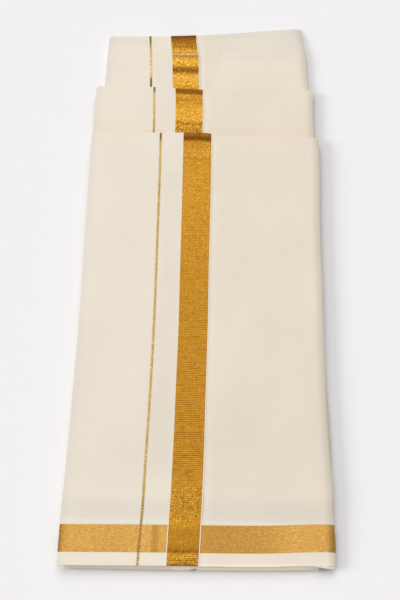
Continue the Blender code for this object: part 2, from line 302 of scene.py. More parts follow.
MIDDLE_GOLD = [
    (0.5944, 0.90, 0.95, 0.70, 0.55),
    (0.6020, 0.84, 0.99, 0.78, 0.62),
    (0.6045, 0.84, 1.00, 0.78, 0.62),
    (0.6075, 1.32, 1.01, 0.80, 0.62),
    (0.6100, 0.88, 1.02, 0.80, 0.62),
    (0.6157, 0.90, 1.04, 0.74, 0.55),
    (0.6180, 1.22, 1.05, 0.34, 0.34),
    (0.6354, 1.26, 1.22, 0.30, 0.36),
    (0.6524, 0.92, 1.15, 0.36, 0.34),
    (0.6560, 0.88, 1.17, 0.50, 0.25),
    (0.6597, 1.10, 1.20, 0.54, 0.25),
    (0.6631, 1.02, 1.00, 0.50, 0.25),
    (0.6648, 0.52, 0.75, 0.40, 0.25),
    (0.6665, 0.40, 0.50, 0.20, 0.25),
    (0.6700, 0.40, 0.46, 0.20, 0.25),
    (0.6734, 0.60, 0.42, 0.30, 0.25),
]
LOWER_GOLD = [
    (0.6721, 0.90, 0.42, 0.44, 0.25),
    (0.6790, 1.18, 0.40, 0.48, 0.25),
    (0.6890, 1.24, 0.44, 0.49, 0.25),
    (0.6950, 1.27, 1.42, 0.50, 0.25),
    (0.6971, 1.28, 1.44, 0.50, 0.25),
    (0.7010, 0.84, 1.42, 0.42, 0.25),
    (0.7045, 0.44, 1.40, 0.42, 0.25),
    (0.7080, 0.50, 1.40, 0.42, 0.25),
    (0.7105, 0.62, 1.42, 0.46, 0.25),
    (0.7130, 1.08, 1.46, 0.74, 0.25),
    (0.7160, 1.24, 1.50, 0.80, 0.18),
    (0.7271, 1.20, 1.45, 0.78, 0.18),
    (0.7306, 0.78, 1.31, 0.52, 0.25),
    (0.7341, 0.98, 1.27, 0.66, 0.30),
    (0.7420, 1.26, 1.18, 0.70, 0.38),
    (0.7451, 0.98, 1.15, 0.70, 0.40),
    (0.7500, 0.71, 0.90, 0.66, 0.40),
    (0.7530, 0.76, 0.64, 0.56, 0.34),
    (0.7600, 0.50, 0.38, 0.36, 0.25),
    (0.7637, 0.25, 0.38, 0.20, 0.25),
    (0.7661, 0.48, 0.38, 0.20, 0.25),
    (0.7681, 0.85, 0.38, 0.30, 0.25),
]
HIDDEN_GOLD = [
    (0.0000, 0.80, 0.80, 0.30, 0.25),
    (0.7500, 0.80, 0.80, 0.30, 0.25),
]
# The end band's painted reflection and painted shade: place across the strip, tone
END_BAND_PAINTED_REFLECTION = [
    (-0.1555, 0.48), (-0.1525, 0.68), (-0.1495, 0.92), (-0.1420, 1.01), (-0.1210, 1.02),
    (-0.0980, 0.98), (-0.0560, 1.05), (-0.0390, 1.02), (0.0100, 0.81), (0.0600, 0.85),
    (0.0860, 0.90), (0.1060, 1.04), (0.1460, 1.07), (0.1530, 1.08), (0.1598, 0.90),
]
print("rows of gold:", len(TOP_GOLD) + len(MIDDLE_GOLD) + len(LOWER_GOLD))


# %% [markdown]
# ## The section: one cloth, four plies
#
# Seen from the cut end, the cloth starts at its selvedge in the middle of the strip, runs left over
# the top, turns, runs right below itself, turns again, and so on down to the other selvedge.
# Two solid plates would look alike from above, but their edges would be blunt: the soft double
# roll at each side comes from real turns.
#
# The path across is one row of points. Each carries the way its right side faces, so that the
# cloth gets its thickness by stepping half of it to either side.

# %% Section of the folded width
RISE_FROM, RISE_TO = 1.015, 1.065   # past the selvedge the plies rise over the lowest one
LOBE = 0.0005                       # how far a turn bulges at the strip's edge
LEFT_EDGE, SELVEDGE_AT, RIGHT_EDGE = 0.0, 1.0, 2.0
PRESSED_PLY = (PRESSED_STRIP - CLOTH) / (PLIES - 1)
SETTLING = 0.6                      # loose plies don't lie evenly: the upper ones lie close
TURN_POINTS, RISE_POINTS = 5, 5
FINE_POINTS, COARSE_POINTS = 44, 12   # of half a ply that shows
CROWDING = 0.6                      # how far points crowd towards the ends of half a ply


def section_rows(*columns):
    """Rows of place, bulge, height, facing across, facing up, and which left and right turn."""
    return np.stack(np.broadcast_arrays(*columns), axis=-1).astype(float)


def ply_run(places, base, facing, turns, rises=True):
    """A flat ply. Its height is base, and one ply more where place has passed the selvedge."""
    height = base + rises * ease((places - RISE_FROM) / (RISE_TO - RISE_FROM))
    return section_rows(places, 0, height, 0, facing, *turns)


def ply_turn(side, base, turns):
    """A half circle at an edge: bulge is the sine and height half the cosine of the angle.

    The right side of the cloth is outside in the left turns (side -1) and inside in the right.
    """
    angle = np.pi * (np.arange(TURN_POINTS) + 0.5) / TURN_POINTS
    place = LEFT_EDGE if side < 0 else RIGHT_EDGE
    height = base + 0.5 + 0.5 * np.cos(angle)
    return section_rows(
        place, side * np.sin(angle), height, -np.sin(angle), -side * np.cos(angle), *turns
    )


def spread(start, end, count):
    """Places from start to end that crowd towards both ends, as 0.5 - 0.5 cos does."""
    t = np.linspace(0, 1, count)
    crowded = 0.5 - 0.5 * np.cos(np.pi * t)
    return start + (end - start) * ((1 - CROWDING) * t + CROWDING * crowded)


def folded_section(shown, hidden):
    """The whole row: shown points a half ply where it is seen, hidden points elsewhere."""
    climb = np.linspace(RISE_FROM, RISE_TO, RISE_POINTS)
    left = spread(LEFT_EDGE, SELVEDGE_AT, hidden)
    right_seen = np.concatenate([climb, spread(RISE_TO, RIGHT_EDGE, shown)[1:]])
    right_hidden = np.concatenate([climb, spread(RISE_TO, RIGHT_EDGE, hidden)[1:]])
    under = np.concatenate([left, right_hidden])
    outer, mixed, inner = (0, 0), (1, 0), (1, 1)   # which left and which right turn
    return np.concatenate([
        ply_run(spread(SELVEDGE_AT, LEFT_EDGE, shown), 3, 1, outer, rises=False),
        ply_turn(-1, 2, outer),
        ply_run(np.concatenate([left, right_seen]), 2, -1, outer),
        ply_turn(1, 2, outer),
        ply_run(under[::-1], 1, 1, mixed),
        ply_turn(-1, 0, mixed),
        ply_run(under, 0, -1, inner),
        ply_turn(1, 0, inner),
        ply_run(spread(RIGHT_EDGE, RISE_TO, hidden), 0, 1, inner, rises=False),
    ])


FINE = folded_section(FINE_POINTS, hidden=9)
COARSE = folded_section(COARSE_POINTS, hidden=8)
FLAP_POINTS = {len(FINE): FINE_POINTS, len(COARSE): COARSE_POINTS}
print("points across:", len(FINE), "and", len(COARSE))


# %% [markdown]
# ## The path: flat, over the fold, and back
#
# Along the strip every stretch is carried on two lines in the (y, z) plane, one for its lower
# and one for its upper face. A far fold goes down over the outside of the upper line. A near fold
# goes round the other way, which is what makes a zigzag.

# %% Paths along the strip
FOLD_STEPS = 14            # round a far fold
NOSE_STEPS = 12            # round a near fold
RETURN_STEPS = 8           # on the short return after a far fold
NOSE_CLEARANCE = 0.001     # the flat run stops this far before the near fold's centre


def line(y, z):
    """Rows of (y, z), where z is one number or one for each y."""
    return np.stack([y, z + 0 * y], axis=-1)


def half_turn(steps, way):
    """Directions from straight up to straight down: (way * sin, cos) of the angle."""
    angle = np.linspace(0, np.pi, steps + 1)
    return np.stack([way * np.sin(angle), np.cos(angle)], axis=-1)


def far_fold_path(flat_y, fold_y, join_y, stretch):
    """Lower and upper line of a stretch that ends in a far fold.

    The flat part sinks and thins over FOLD_TAPER. The fold is a half circle about its open eye,
    and the return runs one level lower until join_y.
    """
    top, under, base = top_of(stretch), level(stretch), level(stretch + 1)
    radius = fold_radius(stretch)
    thin = radius - FOLD_AIR / 2
    centre = np.array([fold_y - radius, base + radius])
    turn = half_turn(FOLD_STEPS, 1)
    pressed = ease((flat_y - (fold_y - FOLD_TAPER)) / (FOLD_TAPER - radius))
    upper = top + (base + 2 * radius - top) * pressed
    lower = under + (base + radius + FOLD_AIR / 2 - under) * pressed
    back_y = np.linspace(centre[0], join_y, RETURN_STEPS + 1)[1:]
    thick = thin + (thickness(stretch + 1) - thin) * ease((centre[0] - back_y) / FOLD_TAPER)
    outside = np.concatenate([line(flat_y, upper), centre + turn * radius, line(back_y, base)])
    inside = np.concatenate(
        [line(flat_y, lower), centre + turn * FOLD_AIR / 2, line(back_y, base + thick)]
    )
    return inside, outside


def near_fold_path(run_y, nose_y, stretch):
    """Lower and upper line of two stretches that a near fold joins, from far to near and back."""
    top, base = top_of(stretch), level(stretch + 1)
    radius = (top - base) / 2
    centre = np.array([nose_y + radius, base + radius])
    eye = np.array([centre[0], level(stretch) - GAP / 2])
    turn = half_turn(NOSE_STEPS, -1)
    out_y = run_y[run_y > centre[0] + NOSE_CLEARANCE]
    in_y = out_y[::-1]
    outside = np.concatenate([line(in_y, top), centre + turn * radius, line(out_y, base)])
    inside = np.concatenate(
        [line(in_y, level(stretch)), eye + turn * GAP / 2, line(out_y, top_of(stretch + 1))]
    )
    return outside, inside


def flat_path(run_y, stretch):
    """Lower and upper line of the last stretch, which lies on the floor and runs back nearwards."""
    return line(run_y[::-1], top_of(stretch)), line(run_y[::-1], level(stretch))


print("radii of the far folds:", [round(fold_radius(stretch), 5) for stretch in (1, 3, 5)])


# %% [markdown]
# ## How the pile departs from flat
#
# These are the few large liberties that this pile takes, each one a function of its own. The cut
# end runs out of square, and the surface sinks before the end band. One near corner hangs a little,
# because nothing holds it up, and its lower plies slide out from under the top one. No far fold is
# quite straight. The long sides are rounded too, because the layers inside reach less far out.

# %% Large bends
CUT_SKEW = 0.0262          # metres further along for each metre to the right, at the cut end
SKEW_REACH = 0.30          # it fades over this length
DROP = 0.0012              # the surface sinks by this much
DROP_FROM, DROP_TO = 0.074, 0.050
DROOP = 0.0018             # how far the corner hangs at DROOP_SPAN past DROOP_FROM
DROOP_FROM, DROOP_SPAN, DROOP_LIMIT = 0.1500, 0.012, 1.2
FAN = 0.0033               # how far the corner's lowest ply slides out
FAN_FROM, FAN_SPAN = 0.1450, 0.004
CORNER_REACH = 0.052       # the corner's bends fade over this length from the cut end
STRAY_REACH, LOOSE_REACH, NEAR_REACH = 0.034, 0.008, 0.120   # pressed and loose folds, near end

# Place across, and how far the fold or the end strays from its mean line
TOP_FOLD_STRAY = [
    (-0.157, 0.0002), (-0.065, 0.0008), (0.003, 0.0018), (0.014, 0.0000), (0.047, -0.0014),
    (0.110, -0.0005), (0.150, -0.0008),
]
MIDDLE_FOLD_STRAY = [
    (-0.155, 0.0004), (-0.078, 0.0010), (-0.046, -0.0002), (0.006, -0.0020),
    (0.070, 0.0006), (0.138, 0.0033),
]
LOWER_FOLD_STRAY = [
    (-0.150, 0.0004), (-0.100, 0.0012), (-0.010, 0.0062), (0.060, 0.0150), (0.125, 0.0234),
]
CUT_STRAY = [
    (-0.157, 0.0003), (-0.121, 0.0001), (-0.077, 0.0000), (0.022, -0.0009),
    (0.060, -0.0012), (0.088, -0.0010), (0.121, 0.0002), (0.144, 0.0008), (0.160, 0.0010),
]
NOSE_STRAY = [
    (-0.157, 0.0026), (-0.140, 0.0021), (-0.095, 0.0012), (-0.050, 0.0004),
    (0.024, -0.0002), (0.090, -0.0002), (0.140, 0.0003),
]


def surface_drop(y):
    return DROP * ease((DROP_FROM - y) / (DROP_FROM - DROP_TO))


def corner_droop(x, y):
    """Grows with the square of the overhang, and dies away along the edge."""
    overhang = np.clip((x - DROOP_FROM) / DROOP_SPAN, 0, DROOP_LIMIT)
    return DROOP * overhang ** 2 * ease(1 - y / CORNER_REACH)


def corner_fan(x, y, z):
    """How far a ply slides out at the hanging corner: nothing at the top, FAN at the bottom."""
    share = 1 - np.clip((z - level(1)) / thickness(1), 0, 1)
    return FAN * share * ease((x - FAN_FROM) / FAN_SPAN) * ease(1 - y / CORNER_REACH)


def fold_stray(table, stretch, fold_y, reach, x, y):
    """The fold's own line, which fades over reach."""
    return along(table, 1, x) * ease((y - (fold_y - reach)) / (reach - fold_radius(stretch)))


def near_stray(table, x, y):
    """The same at the near end: the skew of the cut, and the end's own line."""
    return CUT_SKEW * x * ease(1 - y / SKEW_REACH) + along(table, 1, x) * ease(1 - y / NEAR_REACH)


print("skew from side to side at the cut end:", CUT_SKEW * CLOTH_WIDTH / PLIES)

# %% The rounded long sides
LEFT_ROLL, RIGHT_ROLL, ROLL_WIDTH = 0.0004, 0.0021, 0.011
ROLL_LAG = 0.3             # how soon the roll is lost further down in the pile


def edge_nearness(x, left, right, width):
    """0 inside and 1 on the left and on the right edge, rising over width. Two arrays."""
    return np.clip(1 - (x - left) / width, 0, 1), np.clip(1 - (right - x) / width, 0, 1)


def edge_roll(x, z, left, right):
    """Squares of the nearness to each edge, times (1 + lag) h / (h + lag) of the height h.

    That share is 1 on top of the pile and nothing at the floor.
    """
    near_left, near_right = edge_nearness(x, left, right, ROLL_WIDTH)
    height = z / top_of(1)
    share = (1 + ROLL_LAG) * height / (height + ROLL_LAG)
    return (LEFT_ROLL * near_left ** 2 + RIGHT_ROLL * near_right ** 2) * share


print("roll at half the height:", edge_roll(0.0, top_of(1) / 2, -1.0, 0.0))


# %% [markdown]
# ## Creases, placed one by one
#
# Pressed cotton keeps a memory of each time it was folded. A crease is a low ridge or groove on a
# straight line, with a height that falls off as a bell curve to both sides and fades at its ends.
# Noise could ripple the whole cloth, but real creases are few and each has its own place.

# %% Creases: from x, y, to x, y, half width, height
TOP_CREASES = [
    (-0.157, 0.5755, 0.152, 0.5750, 0.0060, 0.00022),
    (0.020, 0.5530, 0.075, 0.5520, 0.0040, -0.00010),
    (-0.120, 0.1660, -0.092, 0.1690, 0.0030, 0.00012),
    (-0.157, 0.0780, 0.160, 0.0780, 0.0100, 0.00050),
    (0.028, 0.0700, 0.030, 0.0860, 0.0020, -0.00015),
    (-0.150, 0.3000, -0.060, 0.3060, 0.0120, 0.00012),
    (0.030, 0.4100, 0.140, 0.4000, 0.0160, 0.00014),
    (0.060, 0.2200, 0.150, 0.2150, 0.0180, -0.00014),
]
MIDDLE_CREASES = [
    (-0.156, 0.6424, 0.144, 0.6414, 0.0070, 0.00016),
    (-0.156, 0.6104, 0.144, 0.6114, 0.0060, -0.00012),
]
LOWER_CREASES = [
    (-0.146, 0.7051, -0.010, 0.7041, 0.0040, -0.00022),
    (-0.146, 0.7301, 0.020, 0.7306, 0.0030, -0.00016),
    (0.030, 0.7241, 0.090, 0.7236, 0.0025, -0.00012),
    (0.014, 0.7271, 0.013, 0.7571, 0.0020, -0.00010),
]
WAVE_HEIGHT = 0.00008
# Long low waves: turns for each metre across and along, and where they start in radians
WAVES = [(1 / 0.23, 1 / 0.31, 0.6), (1 / 0.11, -1 / 0.47, 2.1), (1 / 0.90, 1 / 0.13, 4.0)]


def crease_height(creases, x, y):
    """Sum of height * exp(-(distance from the line / half width)^2), fading at both ends."""
    total = np.zeros_like(x)
    for x0, y0, x1, y1, half_width, height in creases:
        length = np.hypot(x1 - x0, y1 - y0)
        forward = ((x - x0) * (x1 - x0) + (y - y0) * (y1 - y0)) / length
        sideways = ((x - x0) * (y1 - y0) - (y - y0) * (x1 - x0)) / length
        past_end = np.maximum(0, np.maximum(-forward, forward - length))
        total += height * np.exp(-(sideways ** 2 + past_end ** 2) / half_width ** 2)
    return total


def slow_waves(x, y):
    """Sum of sines across each other, too low to see but for the light that they catch."""
    return WAVE_HEIGHT * sum(
        np.sin(2 * np.pi * (x * per_x + y * per_y) + start) for per_x, per_y, start in WAVES
    )


print("creases:", len(TOP_CREASES), len(MIDDLE_CREASES), len(LOWER_CREASES))


# %% [markdown]
# ## From path and section to cloth
#
# The section is carried along the path as one array of stations by points. The lowest ply of the
# section lies on the path's lower line and the fourth ply just below its upper line. Faces are
# found by index arithmetic, and the two ends are closed between the cloth's own two sides.
#
# Each point also gets its place in the flat cloth: metres from the first selvedge, and metres from
# the first cut end. Those two numbers are the UV map, so stripes and weave follow every fold.

# %% Places across the strip and across the flat cloth
TURN_STRAY = 0.0006        # the inner turns wander by this much at the edges
TURN_WAVES = 41.0          # radians of that wander for each metre along


def plies_across(section, y, left_edge, right_edge, selvedge_x, phase):
    """Place across the strip of every point: even from the left turn to the selvedge, and from
    there to the right turn. The turns keep inside the edges, and the inner ones wander."""
    inset = LOBE + CLOTH / 2
    wander = TURN_STRAY * (0.5 + 0.5 * np.sin(y * TURN_WAVES + phase))
    left = np.concatenate([left_edge + inset, left_edge + inset + wander], axis=1)
    right = np.concatenate([right_edge - inset, right_edge - inset - wander[::-1]], axis=1)
    left = left[:, section[:, 5].astype(int)]
    right = right[:, section[:, 6].astype(int)]
    to_selvedge = np.minimum(section[:, 0], 1.0)
    past_selvedge = np.maximum(section[:, 0] - 1.0, 0.0)
    flat = left + (selvedge_x - left) * to_selvedge + (right - selvedge_x) * past_selvedge
    return flat + section[:, 1] * LOBE


def across_the_cloth(section, x, ply, marks, y):
    """Metres from the first selvedge. On the top ply the woven marks pin it, and past the left
    turn it is the arc length of the section, whose plies lie ply apart."""
    flap = FLAP_POINTS[len(section)]
    steps = np.hypot(np.diff(x, axis=1), np.diff(section[:, 2]) * ply)
    arc = np.concatenate([np.zeros((len(x), 1)), np.cumsum(steps, axis=1)], axis=1)
    line_x, border_left, border_right = (along(marks, column, y) for column in (1, 2, 3))
    in_edge = border_right + SELVEDGE - x
    in_border = SELVEDGE + (BORDER_TO - SELVEDGE) * (border_right - x) / (border_right - border_left)
    in_field = BORDER_TO + (LINE_AT - BORDER_TO) * (border_left - x) / (border_left - line_x)
    beyond = LINE_AT + (line_x - x)
    pinned = np.select(
        [x < line_x, x < border_left, x > border_right], [beyond, in_field, in_edge], in_border
    )
    across = arc + (pinned - arc)[:, flap - 1, None]
    across[:, :flap] = pinned[:, :flap]
    return across


print("plies lie", round(PRESSED_PLY, 5), "m apart where they are pressed")


# %% A closed mesh over a grid of points
SHARP_ANGLE = np.radians(60)


def shell_faces(stations, size):
    """Quads round the cloth between neighbouring stations, and between its two sides at the ends."""
    station = np.arange(stations - 1)[:, None] * size
    here = np.arange(size)[None, :]
    following = (here + 1) % size
    walls = np.stack(
        [station + here, station + size + here, station + size + following, station + following],
        axis=-1,
    )
    side = np.arange(size // 2 - 1)
    start = np.stack([side, side + 1, size - 2 - side, size - 1 - side], axis=-1)
    end = start[:, ::-1] + (stations - 1) * size
    return np.concatenate([walls.reshape(-1, 4), start, end])


def shell_mesh(name, points, flat_place):
    """The mesh over points, with the places in the flat cloth as its UV map."""
    mesh = bpy.data.meshes.new(name)
    mesh.from_pydata(points.reshape(-1, 3), [], shell_faces(*points.shape[:2]))
    corner = np.empty(len(mesh.loops), dtype=np.int32)
    mesh.loops.foreach_get("vertex_index", corner)
    uv = flat_place.reshape(-1, 2)[corner].astype(np.float32)
    mesh.uv_layers.new(name="cloth").uv.foreach_set("vector", uv.ravel())
    mesh.shade_smooth()
    mesh.set_sharp_from_angle(angle=SHARP_ANGLE)
    return mesh


def both_sides(values):
    """Values for the right side, and again in reverse order for the wrong side."""
    return np.concatenate([values, values[:, ::-1]], axis=1)


def enclosed_volume(piece):
    """Sum of the tetrahedra from the origin to every face. It is above 0 if faces point out."""
    mesh = piece.data
    mesh.calc_loop_triangles()
    corners = np.empty(len(mesh.loop_triangles) * 3, dtype=np.int32)
    mesh.loop_triangles.foreach_get("vertices", corners)
    points = np.empty(len(mesh.vertices) * 3)
    mesh.vertices.foreach_get("co", points)
    a, b, c = points.reshape(-1, 3)[corners.reshape(-1, 3)].transpose(1, 0, 2)
    return np.einsum("ij,ij->", a, np.cross(b, c)) / 6


# %% What the material has to know of each point
def store(mesh, name, values):
    """Stores one number for each point, which the material reads by its name."""
    layer = mesh.attributes.new(name, "FLOAT", "POINT")
    layer.data.foreach_set("value", np.asarray(values, dtype=np.float32).ravel())


def store_tones(mesh, gold, x, y, left_edge, right_edge):
    """The cloth's side, the nearness to the strip's edges, and the tones of the gold.

    The nearness sets painted shade at the edges. The tones of the gold, across the end band and along
    the strip, are painted reflection and painted shade, beside its grain and the depth of its ribs.
    """
    near_left, near_right = edge_nearness(x, left_edge, right_edge, ROLL_WIDTH)
    store(mesh, "wrong_side", both_sides(0 * x) + np.repeat([0, 1], x.shape[1]))
    store(mesh, "edge", both_sides(np.maximum(near_left, near_right)))
    store(mesh, "left_edge", both_sides(near_left))
    # The end band's tone across the strip is painted reflection and painted shade
    store(mesh, "end_tone", both_sides(np.interp(x, *np.array(END_BAND_PAINTED_REFLECTION).T)))
    places, *tones = np.array(gold).T
    for label, tone in zip(("border_painted_reflection", "line_painted_reflection", "grain", "rib_depth"), tones):
        store(mesh, label, both_sides(np.interp(y, places, tone) + 0 * x))


# %% Carry the section along a path
def carry(name, section, path, edges, marks, gold, bend, start_along):
    """Makes one stretch and returns it with the length of cloth used so far.

    Pressed plies lie evenly between the path's two lines. Where the strip is loose, their height
    from 0 to 1 is raised to a power below 1, which brings the upper ones closer together.
    """
    lower, upper = path
    y = (lower[:, :1] + upper[:, :1]) / 2
    steps = np.hypot(*np.diff((lower + upper) / 2, axis=0).T)
    strip = np.hypot(*(upper - lower).T)[:, None]
    ply = (strip - CLOTH) / (PLIES - 1)
    air = ease((ply - PRESSED_PLY) / PRESSED_PLY)
    left_edge, right_edge = along(edges, 1, y), along(edges, 2, y)
    selvedge_x = along(marks, 3, y) + SELVEDGE
    centre_x = plies_across(section, y, left_edge, right_edge, selvedge_x, len(name))
    across = across_the_cloth(section, centre_x, ply, marks, y)
    height = (PLIES - 1) * (section[:, 2] / (PLIES - 1)) ** (1 - SETTLING * air)

    layers = []
    for side in (0.0, 1.0, -1.0):
        side_x = centre_x + side * section[:, 3] * CLOTH / 2
        share = (height * ply + (1 + side * section[:, 4]) * CLOTH / 2) / strip
        side_y = lower[:, :1] * (1 - share) + upper[:, :1] * share
        side_z = lower[:, 1:] * (1 - share) + upper[:, 1:] * share
        side_x, side_y, side_z = bend(side_x, side_y, side_z)
        side_z = side_z - edge_roll(side_x, side_z, left_edge, right_edge)
        layers.append(np.stack([side_x, side_y, side_z], axis=-1) - PILE_MIDDLE)
    centre, right_side, wrong_side = layers

    # The cut end's skew makes the threads of the first stretch differ in length, and the
    # stretches after it carry that on.
    first = start_along - CUT_SKEW * centre_x[:1] * (start_along > 0)
    threads = np.linalg.norm(np.diff(centre, axis=0), axis=-1)
    along_cloth = np.concatenate([first, first + np.cumsum(threads, axis=0)])
    mesh = shell_mesh(
        name,
        np.concatenate([right_side, wrong_side[:, ::-1]], axis=1),
        np.stack([both_sides(across), both_sides(along_cloth)], axis=-1),
    )
    store_tones(mesh, gold, centre_x, y, left_edge, right_edge)
    made = bpy.data.objects.new(name, mesh)
    bpy.context.scene.collection.objects.link(made)
    print(name, len(mesh.polygons), "faces, volume", enclosed_volume(made))
    return made, start_along + steps.sum()


# %% [markdown]
# ## The six stretches
#
# The cloth is followed from its first cut end: over the top stretch, round the first far fold and
# back, round the near fold below it, and so on down the pile. Each piece starts with the length
# where the one before it ended, so the weave runs through from piece to piece.

# %% The top stretch
DENSE_TO = 0.090           # more stations up to here, where the pile bends most
RELIEF_FADE = 0.010        # creases fade over this length before a fold
TIGHT_STEP, LOOSE_STEP = 0.0007, 0.0003   # from the flat run's last station to the fold


def stations(*parts):
    """Joins runs of (start, end, count) to one rising row of distances without repeats."""
    return np.unique(np.concatenate([np.linspace(*part) for part in parts]).round(6))


def relief(creases, stretch, fold_y, x, y, z):
    """Creases and waves, full on the stretch's upper face and none below it or at its fold."""
    share = np.clip((z - level(stretch)) / thickness(stretch), 0, 1)
    height = crease_height(creases, x, y) + slow_waves(x, y)
    return height * share ** 2 * ease((fold_y - y) / RELIEF_FADE)


def bend_top(x, y, z):
    moved = y + near_stray(CUT_STRAY, x, y) - corner_fan(x, y, z)
    moved = moved + fold_stray(TOP_FOLD_STRAY, 1, TOP_FOLD_Y, STRAY_REACH, x, y)
    raised = z + relief(TOP_CREASES, 1, TOP_FOLD_Y, x, y, z)
    return x, moved, raised - surface_drop(y) - corner_droop(x, y)


top_run = stations(
    (0.0, 0.004, 3),
    (0.004, DENSE_TO, 28),
    (DENSE_TO, 0.560, 96),
    (0.560, TOP_FOLD_Y - fold_radius(1) - TIGHT_STEP, 18),
)
top_path = far_fold_path(top_run, TOP_FOLD_Y, TOP_JOIN_Y, 1)
top_cloth, cloth_used = carry(
    "top_cloth", FINE, top_path, TOP_EDGES, TOP_MARKS, TOP_GOLD, bend_top, 0.0
)


# %% The near folds under it, which are stretches 2 and 3
def bend_upper_pair(x, y, z):
    """Only the upper face of the pair sinks with the top stretch that lies on it."""
    height = (z - level(3)) / (top_of(2) - level(3))
    return x, y + near_stray(NOSE_STRAY, x, y), z - surface_drop(y) * np.clip(height, 0, 1)


upper_run = stations((0.0, DENSE_TO, 22), (DENSE_TO, TOP_JOIN_Y, 24))
upper_path = near_fold_path(upper_run, UPPER_NOSE_Y, 2)
near_fold_upper, upper_end = carry(
    "near_fold_upper", COARSE, upper_path, UPPER_PAIR_EDGES, TOP_MARKS, HIDDEN_GOLD,
    bend_upper_pair, cloth_used,
)


# %% The second stair
def bend_middle(x, y, z):
    moved = y + fold_stray(MIDDLE_FOLD_STRAY, 3, MIDDLE_FOLD_Y, STRAY_REACH, x, y)
    return x, moved, z + relief(MIDDLE_CREASES, 3, MIDDLE_FOLD_Y, x, y, z)


middle_run = stations(
    (TOP_JOIN_Y + GAP, 0.588, 9),
    (0.588, MIDDLE_FOLD_Y - fold_radius(3) - TIGHT_STEP, 36),
)
middle_path = far_fold_path(middle_run, MIDDLE_FOLD_Y, MIDDLE_JOIN_Y, 3)
middle_cloth, middle_end = carry(
    "middle_cloth", FINE, middle_path, MIDDLE_EDGES, MIDDLE_MARKS, MIDDLE_GOLD, bend_middle, upper_end
)

# %% The near folds of stretches 4 and 5
SINK_START, SINK_LENGTH = BOTTOM_END_Y + 0.004, 0.008


def bend_lower_pair(x, y, z):
    """Its underside sinks to the floor past the last stretch, which ends a little further in."""
    share = np.clip((top_of(4) - z) / (top_of(4) - level(5)), 0, 1)
    sunk = (level(5) - GAP) * ease((SINK_START - y) / SINK_LENGTH)
    return x, y + near_stray(NOSE_STRAY, x, y), z - sunk * share


lower_run = stations((0.0, DENSE_TO, 16), (DENSE_TO, MIDDLE_JOIN_Y, 26))
lower_path = near_fold_path(lower_run, LOWER_NOSE_Y, 4)
near_fold_lower, lower_start = carry(
    "near_fold_lower", COARSE, lower_path, LOWER_PAIR_EDGES, MIDDLE_MARKS, HIDDEN_GOLD,
    bend_lower_pair, middle_end,
)

# %% The lowest stair
RIDGE_Y = 0.7704
LOOSE_SINK = 25.0          # how much flatter the cloth gets for each metre past the ridge


def bend_lower(x, y, z):
    """The last fold is loose at the right: past its ridge the cloth slopes out to its edge."""
    moved = y + fold_stray(LOWER_FOLD_STRAY, 5, LOWER_FOLD_Y, LOOSE_REACH, x, y)
    raised = z + relief(LOWER_CREASES, 5, LOWER_FOLD_Y, x, y, z)
    return x, moved, raised * (1 - LOOSE_SINK * np.clip(moved - RIDGE_Y, 0, None))


last_fold_run = stations(
    (MIDDLE_JOIN_Y + GAP, 0.668, 9),
    (0.668, LOWER_FOLD_Y - LOOSE_REACH, 36),
    (LOWER_FOLD_Y - LOOSE_REACH, LOWER_FOLD_Y - fold_radius(5) - LOOSE_STEP, 20),
)
last_fold_path = far_fold_path(last_fold_run, LOWER_FOLD_Y, LOWER_JOIN_Y, 5)
lower_cloth, lower_end = carry(
    "lower_cloth", FINE, last_fold_path, LOWER_EDGES, LOWER_MARKS, LOWER_GOLD, bend_lower, lower_start
)


# %% The last stretch, on the floor
def bend_bottom(x, y, z):
    return x, y + near_stray(NOSE_STRAY, x, y), z


bottom_run = stations((BOTTOM_END_Y, DENSE_TO, 14), (DENSE_TO, LOWER_JOIN_Y, 24))
bottom_path = flat_path(bottom_run, STRETCHES)
bottom_cloth, cloth_length = carry(
    "bottom_cloth", COARSE, bottom_path, BOTTOM_EDGES, LOWER_MARKS, HIDDEN_GOLD, bend_bottom, lower_end
)
print("whole cloth:", CLOTH_WIDTH, "by", round(cloth_length, 3), "m")


# %% [markdown]
# ## Small tools for node trees
#
# A woven pattern is arithmetic on two numbers: metres across the cloth and metres along it.
# Wiring that up node by node is long to write and hard to read. Here a node's output is wrapped
# as a `Signal`, and adding or multiplying signals makes the Math nodes, so a pattern is written
# as the formula that it is.

# %% Signals
class Signal:
    """An output in a node tree. Arithmetic on it makes Math nodes in the same tree."""

    def __init__(self, socket):
        self.socket = socket
        self.tree = socket.id_data

    def math(self, operation, *others):
        return math_node(self.tree, operation, self, *others)

    def __add__(self, other):
        return self.math("ADD", other)

    def __sub__(self, other):
        return self.math("SUBTRACT", other)

    def __mul__(self, other):
        return self.math("MULTIPLY", other)

    def __truediv__(self, other):
        return self.math("DIVIDE", other)


def feed(socket, value):
    """Links a signal to an input, or sets the input's own value."""
    if isinstance(value, Signal):
        value.tree.links.new(value.socket, socket)
    else:
        socket.default_value = value


def wire(node, inputs, output=0):
    """Feeds a node's inputs, given by name or number, and returns one of its outputs."""
    for label, value in inputs.items():
        feed(node.inputs[label], value)
    return Signal(node.outputs[output])


def math_node(tree, operation, *values):
    node = tree.nodes.new("ShaderNodeMath")
    node.operation = operation
    return wire(node, dict(enumerate(values)))


# %% Nodes for patterns
def rise(value, start, end, low=0.0, high=1.0):
    """A Map Range node with a smooth step: low before start, high after end."""
    node = value.tree.nodes.new("ShaderNodeMapRange")
    node.interpolation_type = "SMOOTHSTEP"
    labels = ("Value", "From Min", "From Max", "To Min", "To Max")
    return wire(node, dict(zip(labels, (value, start, end, low, high))))


def pair(x, y):
    """Two signals as the x and y of a vector."""
    return wire(x.tree.nodes.new("ShaderNodeCombineXYZ"), {"X": x, "Y": y})


def noise(x, y):
    """A 2D Noise texture, from 0 to 1, with about one cloud to each unit of x and y."""
    node = x.tree.nodes.new("ShaderNodeTexNoise")
    node.noise_dimensions = "2D"
    return wire(node, {"Vector": pair(x, y), "Scale": 1.0, "Detail": 2.0, "Roughness": 0.5})


